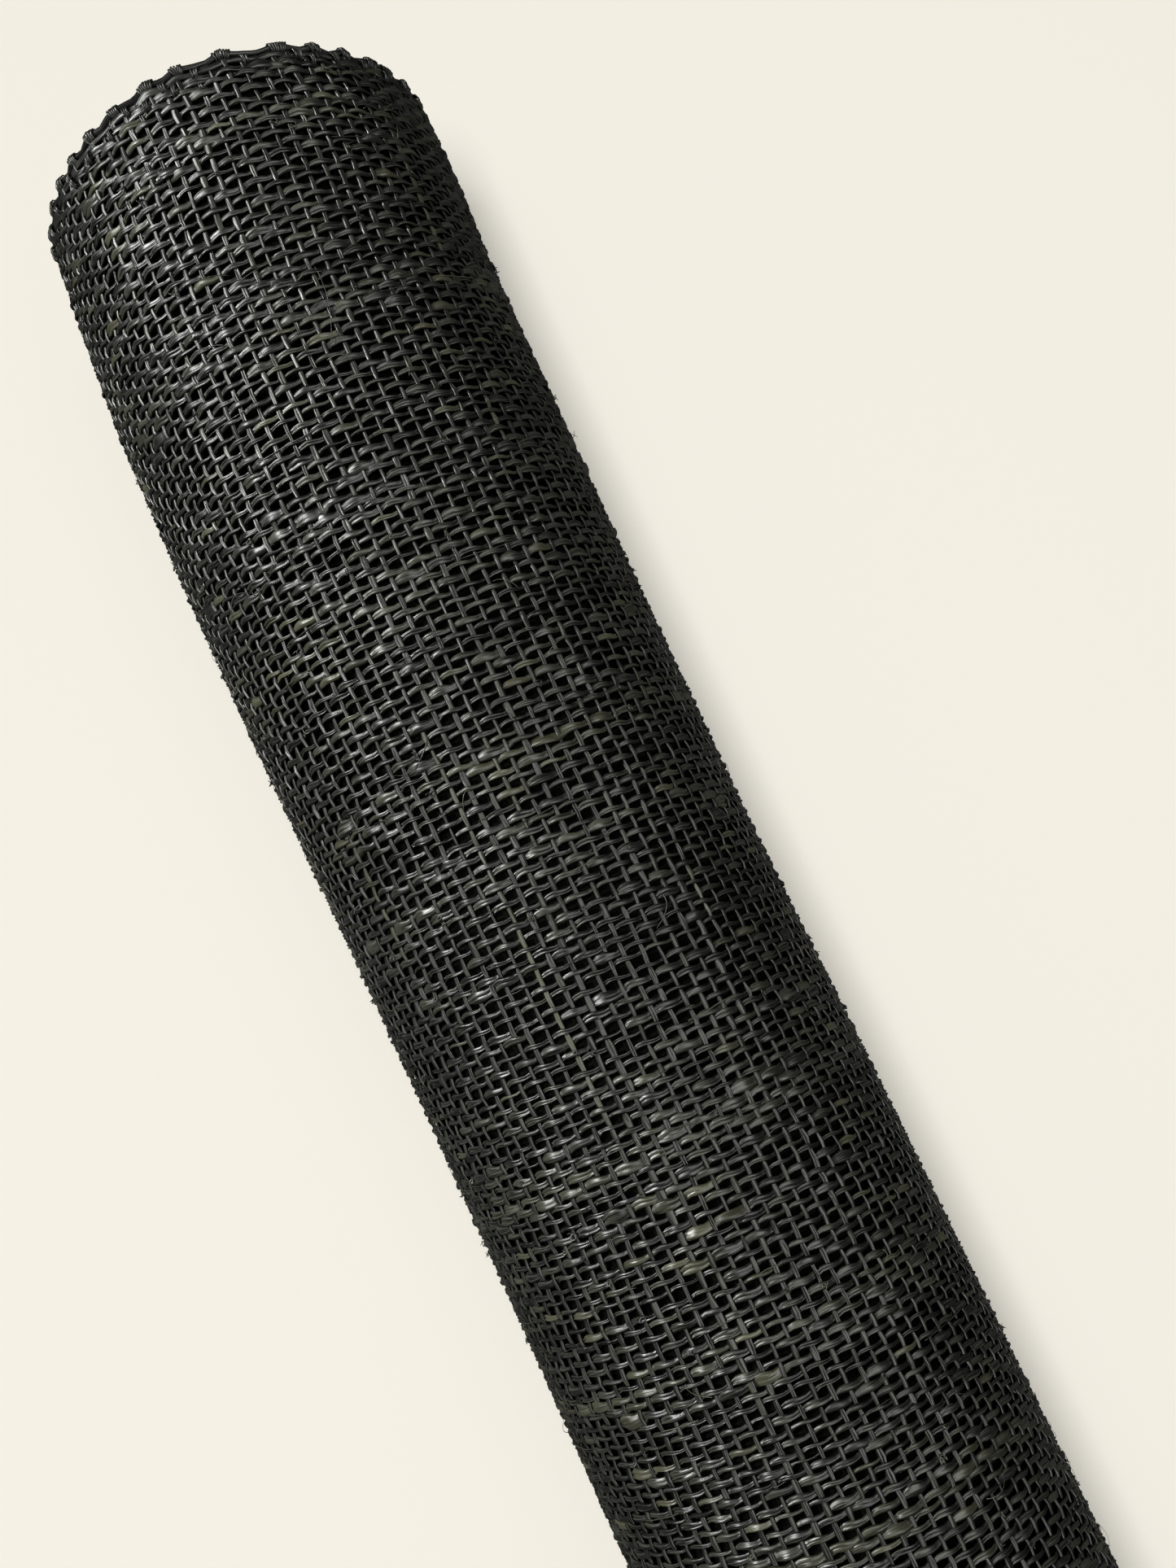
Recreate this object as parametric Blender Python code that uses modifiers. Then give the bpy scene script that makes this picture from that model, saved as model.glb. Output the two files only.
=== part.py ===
"""A roll of open-woven raffia cloth, dyed black, lying on its side.

One length of cloth is wound on itself, so it is one solid: the wound form with its lap, its
scalloped selvedge ends and the main turns that show in them. The fine turns and the weave
belong to the render. +Y runs along the roll, +Z is up, and the origin is under its middle.
"""

import math
from collections import namedtuple

import bmesh
import bpy

# Driving sizes, in metres
ROLL_RADIUS = 0.045
ROLL_LENGTH = 0.480
CLOTH_THICKNESS = 0.00125
STRANDS_ROUND = 84

# The flat that the roll's own weight presses into its underside
FLAT_DEPTH = 0.0007

# The cloth's loose end is tucked under the roll, this far round from the top
LAP_ANGLE = math.radians(-142)
LAP_STEP_SHARE = 0.001

# The selvedge: its scallops, how far it is drawn in, and how far the winding has strayed
# from a straight edge, back at both sides and further on the right
SCALLOP_HEIGHT = 0.0011
SCALLOP_LENGTH = 0.0009
SHORT_SCALLOP_STRANDS = 2
LONG_SCALLOP_STRANDS = 3
DRAWN_IN = 0.0012
STRAYED = 0.0065
STRAYED_RIGHT = 0.0015

# The gap between the main turns that show in the end faces, and the eye they start from
TURN_PITCH = 0.0050
TURN_GAP = 0.0009
TURN_GAP_DEPTH = 0.009
OUTER_TURN_RADIUS = 0.0362
EYE_RADIUS = 0.0042
STEPS_PER_TURN = 32
EYE_SIDES = 28

POINTS_ROUND = 2 * STRANDS_ROUND
HALF_LENGTH = ROLL_LENGTH / 2
UNDERSIDE_TURN = 0.5 - LAP_ANGLE / (2 * math.pi)
CUTTER_OVERSHOOT = 0.003
WELD_DISTANCE = 0.00001

DYED_RAFFIA_COLOUR = (0.012, 0.013, 0.011, 1.0)
DYED_RAFFIA_ROUGHNESS = 0.55

# The roll's sections: the place along half its length, how much fatter than the mean it is
# there, how far it leans aside, and how much it takes of the straying and of the scallops
Section = namedtuple("Section", "along fatter aside strays scallops")
SECTIONS = (
    Section(along=-1.000, fatter=0.00010, aside=-0.00070, strays=1.0, scallops=1.0),
    Section(along=-0.985, fatter=0.00020, aside=-0.00070, strays=0.9, scallops=0.3),
    Section(along=-0.930, fatter=0.00030, aside=-0.00060, strays=0.5, scallops=0.0),
    Section(along=-0.480, fatter=0.00020, aside=0.00030, strays=0.0, scallops=0.0),
    Section(along=-0.040, fatter=-0.00005, aside=0.00040, strays=0.0, scallops=0.0),
    Section(along=0.210, fatter=-0.00020, aside=-0.00020, strays=0.0, scallops=0.0),
    Section(along=0.480, fatter=0.00050, aside=-0.00040, strays=0.0, scallops=0.0),
    Section(along=0.625, fatter=0.00090, aside=0.00000, strays=0.0, scallops=0.0),
    Section(along=0.790, fatter=0.00085, aside=0.00070, strays=0.0, scallops=0.0),
    Section(along=0.885, fatter=0.00080, aside=0.00220, strays=0.2, scallops=0.0),
    Section(along=0.950, fatter=0.00030, aside=0.00285, strays=0.6, scallops=0.0),
    Section(along=0.985, fatter=0.00020, aside=0.00310, strays=0.9, scallops=0.3),
    Section(along=1.000, fatter=0.00000, aside=0.00320, strays=1.0, scallops=1.0),
)

# Where the outer turns give way to the flat face of the inner ones: the share of the radius,
# and how far in from the box's end the face lies
RIM_SHARE = 0.86
FACE_INSET = 0.0030


def clear_scene():
    for thing in list(bpy.data.objects):
        bpy.data.objects.remove(thing, do_unlink=True)


def new_collection(name):
    collection = bpy.data.collections.new(name)
    bpy.context.scene.collection.children.link(collection)
    return collection


def dyed_raffia():
    """Black-dyed palm fibre with the dull satin of a plant strip."""
    material = bpy.data.materials.new("dyed raffia cloth")
    material.use_nodes = True
    shader = material.node_tree.nodes["Principled BSDF"]
    shader.inputs["Base Color"].default_value = DYED_RAFFIA_COLOUR
    shader.inputs["Roughness"].default_value = DYED_RAFFIA_ROUGHNESS
    shader.inputs["Metallic"].default_value = 0.0
    return material


def wound_radius(turn):
    """The winding's radius this share of a turn in from the loose end of the cloth."""
    return ROLL_RADIUS + CLOTH_THICKNESS * (0.5 - turn)


def axis_height():
    return wound_radius(UNDERSIDE_TURN) - FLAT_DEPTH


def centring():
    """The sideways shift that puts the middle of the whole roll's box over the origin."""
    left = max(section.fatter - section.aside for section in SECTIONS)
    right = max(section.fatter + section.aside for section in SECTIONS)
    return (CLOTH_THICKNESS / 2 + left - right) / 2


def scallop(turn):
    """How far the selvedge bulges at this share of a turn: 0 in a dip, 1 on a bump."""
    short_bumps = STRANDS_ROUND / SHORT_SCALLOP_STRANDS
    long_bumps = STRANDS_ROUND / LONG_SCALLOP_STRANDS
    short = math.sin(math.pi * short_bumps * turn) ** 2
    long = math.sin(math.pi * long_bumps * turn + 0.6) ** 2
    swing = 0.5 + 0.5 * math.sin(10 * math.pi * turn)
    return swing * short + (1 - swing) * long


def section_point(section, turn):
    """A point on a section, `turn` of the way round from the loose end of the cloth."""
    angle = LAP_ANGLE + 2 * math.pi * turn
    radius = wound_radius(turn) + section.fatter
    radius += section.scallops * (SCALLOP_HEIGHT * scallop(turn) - DRAWN_IN)
    x = centring() + section.aside + radius * math.sin(angle)
    z = axis_height() + section.fatter + radius * math.cos(angle)
    outward = math.copysign(1.0, section.along)
    strayed = STRAYED * math.sin(angle) ** 2 + STRAYED_RIGHT * math.sin(angle)
    short_by = section.strays * strayed
    short_by += section.scallops * SCALLOP_LENGTH * (1 - scallop(turn))
    return x, section.along * HALF_LENGTH - outward * short_by, max(z, 0.0)


def rim_point(section, turn):
    """A point on the rim of the flat end face, drawn in from the roll's edge."""
    x, _, z = section_point(section._replace(strays=0.0, scallops=0.0), turn)
    middle_x = centring() + section.aside
    x = middle_x + RIM_SHARE * (x - middle_x)
    z = axis_height() + RIM_SHARE * (z - axis_height())
    return x, math.copysign(HALF_LENGTH - FACE_INSET, section.along), z


def add_ring(bm, section, point_at):
    """A closed ring of edges through the points that point_at gives round one turn."""
    corners = []
    for step in range(POINTS_ROUND):
        turn = step / (POINTS_ROUND - 1) * (1 - LAP_STEP_SHARE)
        corners.append(bm.verts.new(point_at(section, turn)))
    return [
        bm.edges.new((corners[step], corners[(step + 1) % POINTS_ROUND]))
        for step in range(POINTS_ROUND)
    ]


def wound_form(collection):
    """The roll's outside: a loft through its sections, closed by the rims' flat faces."""
    bm = bmesh.new()
    rings = [add_ring(bm, SECTIONS[0], rim_point)]
    rings += [add_ring(bm, section, section_point) for section in SECTIONS]
    rings.append(add_ring(bm, SECTIONS[-1], rim_point))
    for near, far in zip(rings, rings[1:]):
        bmesh.ops.bridge_loops(bm, edges=near + far)
    for end in (rings[0], rings[-1]):
        bmesh.ops.edgeloop_fill(bm, edges=end)
    bmesh.ops.recalc_face_normals(bm, faces=bm.faces)
    mesh = bpy.data.meshes.new("raffia_roll")
    bm.to_mesh(mesh)
    bm.free()
    roll = bpy.data.objects.new("raffia_roll", mesh)
    collection.objects.link(roll)
    return roll


def end_middle(side):
    """The middle of the end at side +1 or -1, where the turns are wound round."""
    section = SECTIONS[-1] if side > 0 else SECTIONS[0]
    return centring() + section.aside, side * HALF_LENGTH, axis_height()


def cutter_middle(side):
    x, y, z = end_middle(side)
    return x, y - side * (TURN_GAP_DEPTH - CUTTER_OVERSHOOT) / 2, z


def as_mesh(curve, name):
    """A curve made a mesh, so that a Boolean can use it."""
    bpy.context.view_layer.update()
    graph = bpy.context.evaluated_depsgraph_get()
    mesh = bpy.data.meshes.new_from_object(curve.evaluated_get(graph))
    bm = bmesh.new()
    bm.from_mesh(mesh)
    bmesh.ops.remove_doubles(bm, verts=bm.verts, dist=WELD_DISTANCE)
    bm.to_mesh(mesh)
    bm.free()
    made = bpy.data.objects.new(name, mesh)
    made.matrix_world = curve.matrix_world.copy()
    bpy.data.objects.remove(curve, do_unlink=True)
    return made


def gap_between_turns(side, collection):
    """The cutter for the spiral gap between the main turns in one end face."""
    turns = (OUTER_TURN_RADIUS - EYE_RADIUS) / TURN_PITCH
    curve = bpy.data.curves.new("turn_gap", "CURVE")
    curve.dimensions = "3D"
    curve.extrude = (TURN_GAP_DEPTH + CUTTER_OVERSHOOT) / 2
    spline = curve.splines.new("POLY")
    spline.points.add(round(turns * STEPS_PER_TURN))
    for step, point in enumerate(spline.points):
        turn = step / STEPS_PER_TURN
        radius = OUTER_TURN_RADIUS - TURN_PITCH * turn
        angle = LAP_ANGLE + 2 * math.pi * turn
        point.co = (radius * math.sin(angle), radius * math.cos(angle), 0.0, 1.0)
    ribbon = bpy.data.objects.new("turn_gap", curve)
    ribbon.rotation_euler = (math.radians(90), 0.0, 0.0)
    ribbon.location = cutter_middle(side)
    collection.objects.link(ribbon)
    cutter = as_mesh(ribbon, "turn_gap_far" if side > 0 else "turn_gap_near")
    collection.objects.link(cutter)
    width = cutter.modifiers.new("gap width", "SOLIDIFY")
    width.thickness = TURN_GAP
    width.offset = 0.0
    return cutter


def eye_of_roll(side, collection):
    """The cutter for the small eye that the first turn is wound round."""
    bpy.ops.mesh.primitive_cylinder_add(
        vertices=EYE_SIDES,
        radius=EYE_RADIUS,
        depth=TURN_GAP_DEPTH + CUTTER_OVERSHOOT,
        location=cutter_middle(side),
        rotation=(math.radians(90), 0.0, 0.0),
    )
    cutter = bpy.context.active_object
    cutter.name = "roll_eye_far" if side > 0 else "roll_eye_near"
    for owner in list(cutter.users_collection):
        owner.objects.unlink(cutter)
    collection.objects.link(cutter)
    return cutter


def cut(body, cutter):
    cutter.hide_render = True
    cutter.display_type = "WIRE"
    boolean = body.modifiers.new(cutter.name, "BOOLEAN")
    boolean.operation = "DIFFERENCE"
    boolean.solver = "EXACT"
    boolean.object = cutter


def main():
    clear_scene()
    parts = new_collection("roll of raffia fabric")
    cutters = new_collection("cutters")
    roll = wound_form(parts)
    roll.data.materials.append(dyed_raffia())
    for side in (-1, 1):
        cut(roll, gap_between_turns(side, cutters))
        cut(roll, eye_of_roll(side, cutters))


main()
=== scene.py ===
# %% [markdown]
# # A roll of open-woven raffia cloth, dyed black
# Raffia is the dried skin of palm leaves. A maker splits it into narrow strips, dyes them,
# knots them end to end and weaves them one over, one under. The finished length is wound on
# itself. This lesson weaves that cloth, strip by strip, round the roll that the model gives.
# The first step loads the model as a fixed frame, so that each piece lands where the solid is.

# %% Load the frame
import math

import bmesh
import bpy
import numpy as np
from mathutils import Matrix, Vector
from mathutils.bvhtree import BVHTree


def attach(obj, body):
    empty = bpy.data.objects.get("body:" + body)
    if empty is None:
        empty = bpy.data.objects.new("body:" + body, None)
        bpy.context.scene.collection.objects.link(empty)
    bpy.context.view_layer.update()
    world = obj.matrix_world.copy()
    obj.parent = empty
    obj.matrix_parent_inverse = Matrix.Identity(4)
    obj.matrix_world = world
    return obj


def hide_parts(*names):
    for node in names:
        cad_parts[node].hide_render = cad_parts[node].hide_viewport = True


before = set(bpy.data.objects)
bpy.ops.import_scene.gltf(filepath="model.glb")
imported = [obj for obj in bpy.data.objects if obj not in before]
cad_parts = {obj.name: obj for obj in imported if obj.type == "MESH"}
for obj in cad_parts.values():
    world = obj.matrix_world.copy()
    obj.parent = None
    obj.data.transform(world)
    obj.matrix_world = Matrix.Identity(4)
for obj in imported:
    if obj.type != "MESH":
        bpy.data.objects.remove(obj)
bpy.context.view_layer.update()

MM = 0.001
roll_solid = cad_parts["raffia_roll"]


def finished_mesh(name, bm):
    """The mesh that a bmesh has shaped."""
    mesh = bpy.data.meshes.new(name)
    bm.to_mesh(mesh)
    bm.free()
    return mesh


def add_object(name, data):
    """Puts a camera, a lamp or a mesh in the scene."""
    thing = bpy.data.objects.new(name, data)
    bpy.context.scene.collection.objects.link(thing)
    return thing


# %% [markdown]
# ## The camera
# The roll lies on a pale surface and is seen from almost straight above, with its far end at
# the upper left. A camera's own turn about its view does that, so the roll itself can lie
# squarely along the Y axis, which keeps every later formula short.

# %% Camera
CAMERA_PLACE = (-0.00089, 0.0248, 0.4348)
CAMERA_TURN_DEG = (7.711, 1.041, -25.117)
CAMERA_LENS_MM = 41.6
CAMERA_CLIP = 10 * MM

camera_data = bpy.data.cameras.new("camera above the roll")
camera_data.lens = CAMERA_LENS_MM
camera_data.clip_start = CAMERA_CLIP
camera = add_object("camera above the roll", camera_data)
camera.location = CAMERA_PLACE
camera.rotation_euler = [math.radians(turn) for turn in CAMERA_TURN_DEG]
bpy.context.scene.camera = camera
print("the camera is", round(camera.location.z, 2), "m above the board")

# %% [markdown]
# ## Colours and nodes
# Colours are given as hex values, which are sRGB. Shaders work in linear light, so one
# function turns the one into the other. A second one adds a node with its settings and links,
# and every material below is built with it.

# %% Colour and node helpers
def linear(hex_colour):
    """A hex colour, as the eye names it, in the linear light that shaders use."""
    shares = [int(hex_colour[at:at + 2], 16) / 255 for at in (1, 3, 5)]
    return [s / 12.92 if s <= 0.04045 else ((s + 0.055) / 1.055) ** 2.4 for s in shares] + [1.0]


def add_node(tree, kind, settings=None, links=None):
    """Adds a node. Settings are its properties or its sockets, and links its linked sockets."""
    node = tree.nodes.new("ShaderNode" + kind)
    for name, value in (settings or {}).items():
        if isinstance(name, int) or name in node.inputs:
            node.inputs[name].default_value = value
        else:
            setattr(node, name, value)
    for name, source in (links or {}).items():
        tree.links.new(source, node.inputs[name])
    return node


def new_material(name, roughness, ior):
    """A material of the given name with its Principled shader, ready for nodes."""
    material = bpy.data.materials.new(name)
    material.use_nodes = True
    shader = material.node_tree.nodes["Principled BSDF"]
    shader.inputs["Roughness"].default_value = roughness
    shader.inputs["IOR"].default_value = ior
    return material, shader


# %% [markdown]
# ## The surface it lies on, and the light
# The backdrop is a board painted a matt warm white, so that nothing glints on it. A soft lamp
# overhead leaves a narrow shadow beside the roll. A broad one lightens that shadow, as white
# walls do: it is told that the roll doesn't block it.
#
# The black cloth has its own two lamps. One is at the upper left, beyond the far end. It is
# long and narrow, so that strips of both directions catch it as a thin bright edge, and its
# light skims the cloth, so that the gaps stay dark. A weak one at the lower right keeps that
# flank and the near end from going black. Both are a trace warm, or the glints would look
# like metal.
#
# The lamps overhead light the board only and the other two the roll only, so that neither
# pair spoils the other's work. The board isn't mirrored in the roll either, which keeps the
# flanks deep: a photographer does the same with black cards.

# %% Surface and light
FLOOR_COLOUR = "#f1ede2"
FLOOR_SIZE = 8.0
SKY_COLOUR = "#fbf8f2"
SKY_STRENGTH = 0.10
WHITE_LIGHT = "#ffffff"
WARM_LIGHT = "#fefffb"
LAMP_AIM = Vector((0.0, 0.02, 0.04))
MATT_ROUGHNESS = 0.9
MATT_SPECULAR = 0.1
PAINT_IOR = 1.45

# Each lamp's place, width and height, power in watts and colour. Its light falls on the board
# alone, with INCLUDE, or on all but the board, with EXCLUDE.
LAMPS = (
    ("soft lamp overhead", (-0.19, 0.05, 2.40), (0.88, 0.88), 50.3, WHITE_LIGHT, "INCLUDE"),
    ("broad lamp overhead", (0.0, 0.05, 1.90), (1.70, 1.70), 4.8, WHITE_LIGHT, "INCLUDE"),
    ("skimming lamp", (-1.25, 1.05, 1.28), (1.30, 0.28), 82.0, WARM_LIGHT, "EXCLUDE"),
    ("weak side lamp", (0.64, -0.25, 1.64), (1.40, 1.40), 27.0, WARM_LIGHT, "EXCLUDE"),
)

floor_material, floor_shader = new_material("warm white painted board", MATT_ROUGHNESS, PAINT_IOR)
floor_shader.inputs["Base Color"].default_value = linear(FLOOR_COLOUR)
floor_shader.inputs["Specular IOR Level"].default_value = MATT_SPECULAR
bm = bmesh.new()
bmesh.ops.create_grid(bm, x_segments=1, y_segments=1, size=FLOOR_SIZE / 2)
floor = add_object("floor", finished_mesh("floor", bm))
floor.data.materials.append(floor_material)
floor.visible_glossy = False
floor.visible_diffuse = False

world = bpy.data.worlds.new("soft studio")
world.use_nodes = True
sky = world.node_tree.nodes["Background"]
sky.inputs["Color"].default_value = linear(SKY_COLOUR)
sky.inputs["Strength"].default_value = SKY_STRENGTH
bpy.context.scene.world = world
bpy.context.scene.view_settings.view_transform = "Standard"


def add_lamp(name, place, size, power, colour, board):
    """An area lamp that faces the roll. The width of its light lies level."""
    data = bpy.data.lights.new(name, "AREA")
    data.shape = "RECTANGLE"
    data.size, data.size_y = size
    data.energy = power
    data.color = linear(colour)[:3]
    lamp = add_object(name, data)
    lamp.location = place
    lamp.rotation_euler = (LAMP_AIM - Vector(place)).to_track_quat("-Z", "Y").to_euler()
    lamp.visible_camera = False
    receivers = bpy.data.collections.new(name)
    receivers.objects.link(floor)
    receivers.collection_objects[0].light_linking.link_state = board
    lamp.light_linking.receiver_collection = receivers
    return lamp


lamps = {name: add_lamp(name, *settings) for name, *settings in LAMPS}
past_roll = lamps["broad lamp overhead"].light_linking
past_roll.blocker_collection = past_roll.receiver_collection
print(len(lamps), "lamps, of", sum(lamp.data.energy for lamp in lamps.values()), "W in all")

# %% [markdown]
# ## The form that the cloth is wound to
# The roll isn't a true cylinder: it is fatter in places, leans at its far end, and has a flat
# underside and a lap. Rays sent out from its axis to the solid's surface measure all of that.
# Everything below asks for a place by three numbers: how many turns in from the loose end,
# how far along the roll, and how high above the surface.

# %% Measure the wound form
ROLL_RADIUS = 45 * MM
ROLL_GIRTH = 2 * math.pi * ROLL_RADIUS
HALF_LENGTH = 240 * MM
CLOTH_THICKNESS = 1.25 * MM
LAP_ANGLE = math.radians(-142)
STRAYED = 6.5 * MM
STRAYED_RIGHT = 1.5 * MM
READ_TO = 230 * MM
READ_STEP = 5 * MM
READ_TURNS = np.linspace(0.004, 0.996, 125)
AXIS_ABOVE_FLAT = 43.8 * MM

AXIS_HEIGHT = roll_solid.bound_box[0][2] + AXIS_ABOVE_FLAT
read_places = np.arange(-READ_TO, READ_TO + READ_STEP / 2, READ_STEP)


def distance_out(tree, x, y, angle):
    """How far the solid's surface is from a point on the axis, in the direction of an angle."""
    start = Vector((x, y, AXIS_HEIGHT))
    return tree.ray_cast(start, Vector((math.sin(angle), 0.0, math.cos(angle))))[3]


def read_form(node):
    """The middle of the roll at each place along it, and its radius at each share of a turn."""
    bm = bmesh.new()
    bm.from_mesh(node.data)
    tree = BVHTree.FromBMesh(bm)
    bm.free()
    angles = LAP_ANGLE + 2 * math.pi * READ_TURNS
    middles = []
    radii = []
    for y in read_places:
        right = distance_out(tree, 0.0, y, math.pi / 2)
        left = distance_out(tree, 0.0, y, -math.pi / 2)
        middles.append((right - left) / 2)
        radii.append([distance_out(tree, middles[-1], y, angle) for angle in angles])
    return np.array(middles), np.array(radii)


middle_at, radius_at = read_form(roll_solid)
print("radius, in mm: from", round(radius_at.min() / MM, 2), "to", round(radius_at.max() / MM, 2))


def read_grid(grid, row, column):
    """A grid read between its rows and columns, and carried on straight past its edges."""
    low_row = np.clip(np.floor(row).astype(int), 0, grid.shape[0] - 2)
    low_column = np.clip(np.floor(column).astype(int), 0, grid.shape[1] - 2)
    row_share = row - low_row
    column_share = column - low_column
    near, far = (
        grid[at, low_column] * (1 - column_share) + grid[at, low_column + 1] * column_share
        for at in (low_row, low_row + 1)
    )
    return near * (1 - row_share) + far * row_share


def middle_x(y):
    inside = np.clip(y, -READ_TO, READ_TO)
    lean = (middle_at[-1] - middle_at[-2]) / READ_STEP
    return np.interp(inside, read_places, middle_at) + np.maximum(y - READ_TO, 0.0) * lean


def surface_radius(turns, y):
    """The cloth's outer radius. Each further turn is wound one thickness deeper."""
    whole = np.where(turns > READ_TURNS[-1], np.mod(turns, 1.0), turns)
    whole = np.clip(whole, READ_TURNS[0], READ_TURNS[-1])
    row = (y + READ_TO) / READ_STEP
    column = (whole - READ_TURNS[0]) / (READ_TURNS[1] - READ_TURNS[0])
    outer = read_grid(radius_at, row, column)
    mean = outer - CLOTH_THICKNESS * (0.5 - whole)
    return mean * (1 + CLOTH_THICKNESS * (0.5 - np.maximum(turns, 0.0)) / ROLL_RADIUS)


def depth_share(turns):
    """The radius left at this many turns in, as a share of the roll's."""
    return 1 - turns * CLOTH_THICKNESS / ROLL_RADIUS


def angle_of(turns):
    return LAP_ANGLE + 2 * np.pi * turns


def outward(turns):
    """The direction straight out from the axis."""
    angle = angle_of(turns)
    return np.stack([np.sin(angle), np.zeros_like(angle), np.cos(angle)], axis=-1)


def place(turns, y, height):
    """A point this high above the surface, in metres."""
    turns, y, height = np.broadcast_arrays(turns, y, height)
    radius = surface_radius(turns, y) + height
    point = radius[..., None] * outward(turns)
    point[..., 0] += middle_x(y)
    point[..., 1] = y
    point[..., 2] += AXIS_HEIGHT
    return point


def strayed(turns):
    """How far back the selvedge has strayed from the roll's full length at this turn."""
    angle = angle_of(turns)
    return STRAYED * np.sin(angle) ** 2 + STRAYED_RIGHT * np.sin(angle)


# %% [markdown]
# ## Uneven by nature
# No strip of palm leaf is straight or even. Two helpers give that. The first lets each strip
# wander by itself, and the second lets neighbours drift together, as cloth does when it is
# pulled. Both start from one seeded generator, so that the roll is the same each time.

# %% Wander and drift
chance = np.random.default_rng(11)


def between_knots(values, places):
    """Values known at the whole numbers, joined smoothly and read at these places."""
    low = np.clip(np.floor(places).astype(int), 0, values.shape[-1] - 2)
    share = np.clip(places - low, 0.0, 1.0)
    share = share * share * (3 - 2 * share)
    return values[..., low] * (1 - share) + values[..., low + 1] * share


def each_strip(count, low, high):
    """A chance number between two limits for each of count strips."""
    return chance.uniform(low, high, (count, 1))


def wander(count, steps, spacing):
    """For each of count strips, a smooth swing between -1 and 1 along its steps."""
    knots = chance.uniform(-1, 1, (count, int(steps / spacing) + 3))
    starts = each_strip(count, 0, 1)
    shifted = knots[:, :-1] * (1 - starts) + knots[:, 1:] * starts
    return between_knots(shifted, np.arange(steps) / spacing)


def drift(count, steps, count_spacing, spacing):
    """As wander, but near strips swing alike."""
    few = wander(int(count / count_spacing) + 3, steps, spacing)
    return between_knots(few.T, np.arange(count) / count_spacing).T


# %% [markdown]
# ## Where the strips cross
# The weft strips lie along the roll, and the rows of warp run round it. Every crossing is one
# cell of a table, so that a strip and the row it meets agree on where they are. The rows crowd
# together at the two selvedges, where the weaver beats them up to hold the edge, and the strips
# there are wider, so that hardly a gap is left.

# %% The table of crossings
STRIPS_ROUND = 84
STRIPS_TUCKED = 3
STRIPS = STRIPS_ROUND + STRIPS_TUCKED
ROWS = 236
STRIP_PITCH = ROLL_GIRTH / STRIPS_ROUND
ROW_PITCH = 2 * HALF_LENGTH / ROWS
FIRST_STRIP = 0.35
ROW_SKEW = 0.75 * MM
EDGE_ROW_WIDTH = 1.7 * MM

# The selvedge's crowded rows and wide strips, and how many rows in the width fades
SELVEDGE_ROWS = 5
SELVEDGE_CROWDING = 0.74
PACKED = 0.34
PACKED_ROWS = 12.0

# The shares of half the length from which the edge strays back and the rows run true to it
STRAY_FROM = 0.85
TRUE_FROM = 0.96


def rising(values, start, end):
    """A share that rises from 0 at the start to 1 at the end, and is level past both."""
    return np.clip((values - start) / (end - start), 0.0, 1.0)


strip_number = np.arange(STRIPS)[:, None]
row_number = np.arange(ROWS)[None, :]

row_gaps = 1 + 0.06 * wander(1, ROWS, 9)[0] + chance.uniform(-0.18, 0.18, ROWS)
row_gaps[:SELVEDGE_ROWS] *= SELVEDGE_CROWDING
row_gaps[-SELVEDGE_ROWS + 1:] *= SELVEDGE_CROWDING
row_places = np.cumsum(row_gaps)
row_places = (row_places - row_places[0]) / (row_places[-1] - row_places[0]) * 2 - 1
row_places = row_places * (HALF_LENGTH - EDGE_ROW_WIDTH / 2)
end_share = np.abs(row_places) / HALF_LENGTH

# How far a strip wanders aside and a row lengthways, alone and with its neighbours, in mm
sideways = 0.28 * wander(STRIPS, ROWS, 12) + 0.24 * wander(STRIPS, ROWS, 2.5)
sideways = (sideways + 0.55 * drift(STRIPS, ROWS, 14, 40)) * MM
lengthways = 0.33 * wander(ROWS, STRIPS, 3).T + 0.75 * drift(STRIPS, ROWS, 16, 11)
crossing_turns = (strip_number + FIRST_STRIP) / STRIPS_ROUND + sideways / ROLL_GIRTH
lengthways = lengthways * MM + ROW_SKEW * np.sin(angle_of(crossing_turns))
crossing_y = row_places + lengthways * (1 - rising(end_share, TRUE_FROM, 1.0))
stray = rising(end_share, STRAY_FROM, 1.0) * strayed(crossing_turns)
crossing_y = crossing_y - np.sign(row_places) * stray
rows_from_edge = np.minimum(row_number[0], ROWS - 1 - row_number[0])
packed_wide = 1 + PACKED * np.exp(-rows_from_edge / PACKED_ROWS)
print(STRIPS, "strips of weft cross", ROWS, "rows at", crossing_y.size, "places")


def read_strips(table, places):
    """A table of crossings, read between its strips: one line for each place."""
    rows = np.broadcast_to(row_number, (len(places), ROWS))
    return read_grid(table, np.broadcast_to(places[:, None], rows.shape), rows.astype(float))


# %% [markdown]
# ## One strip, and many
# A dried strip is a flat ribbon with a slight crown. Four long edges are enough for it: two
# at its sides and two on its crown, which smooth shading rounds. A strip that is folded or
# half split gets a fifth, in the crease between its two strands, and shading stays sharp
# there, or the strands would melt into one. The template is a cone operator's prism, cut into
# stations. Copies of it are joined into one mesh, and each copy's rings are then moved to
# where its strip runs. One function lays the weft, the rows, the selvedge and the fibres.

# %% Strip maker
# A strip's corners: how far aside in widths, how far up in thicknesses, and what a full
# crease adds to that
PLAIN = np.array([
    [0.5, 0.22, -0.24, -0.5],
    [-0.30, 0.50, 0.46, -0.34],
    [0.0, 0.0, 0.0, 0.0],
])
FOLDED = np.array([
    [0.5, 0.30, -0.03, -0.33, -0.5],
    [-0.38, 0.36, 0.54, 0.34, -0.42],
    [0.0, 0.12, -0.85, 0.14, 0.0],
])
CREASE_CORNER = 2
LOWEST = 0.05 * MM


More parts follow.
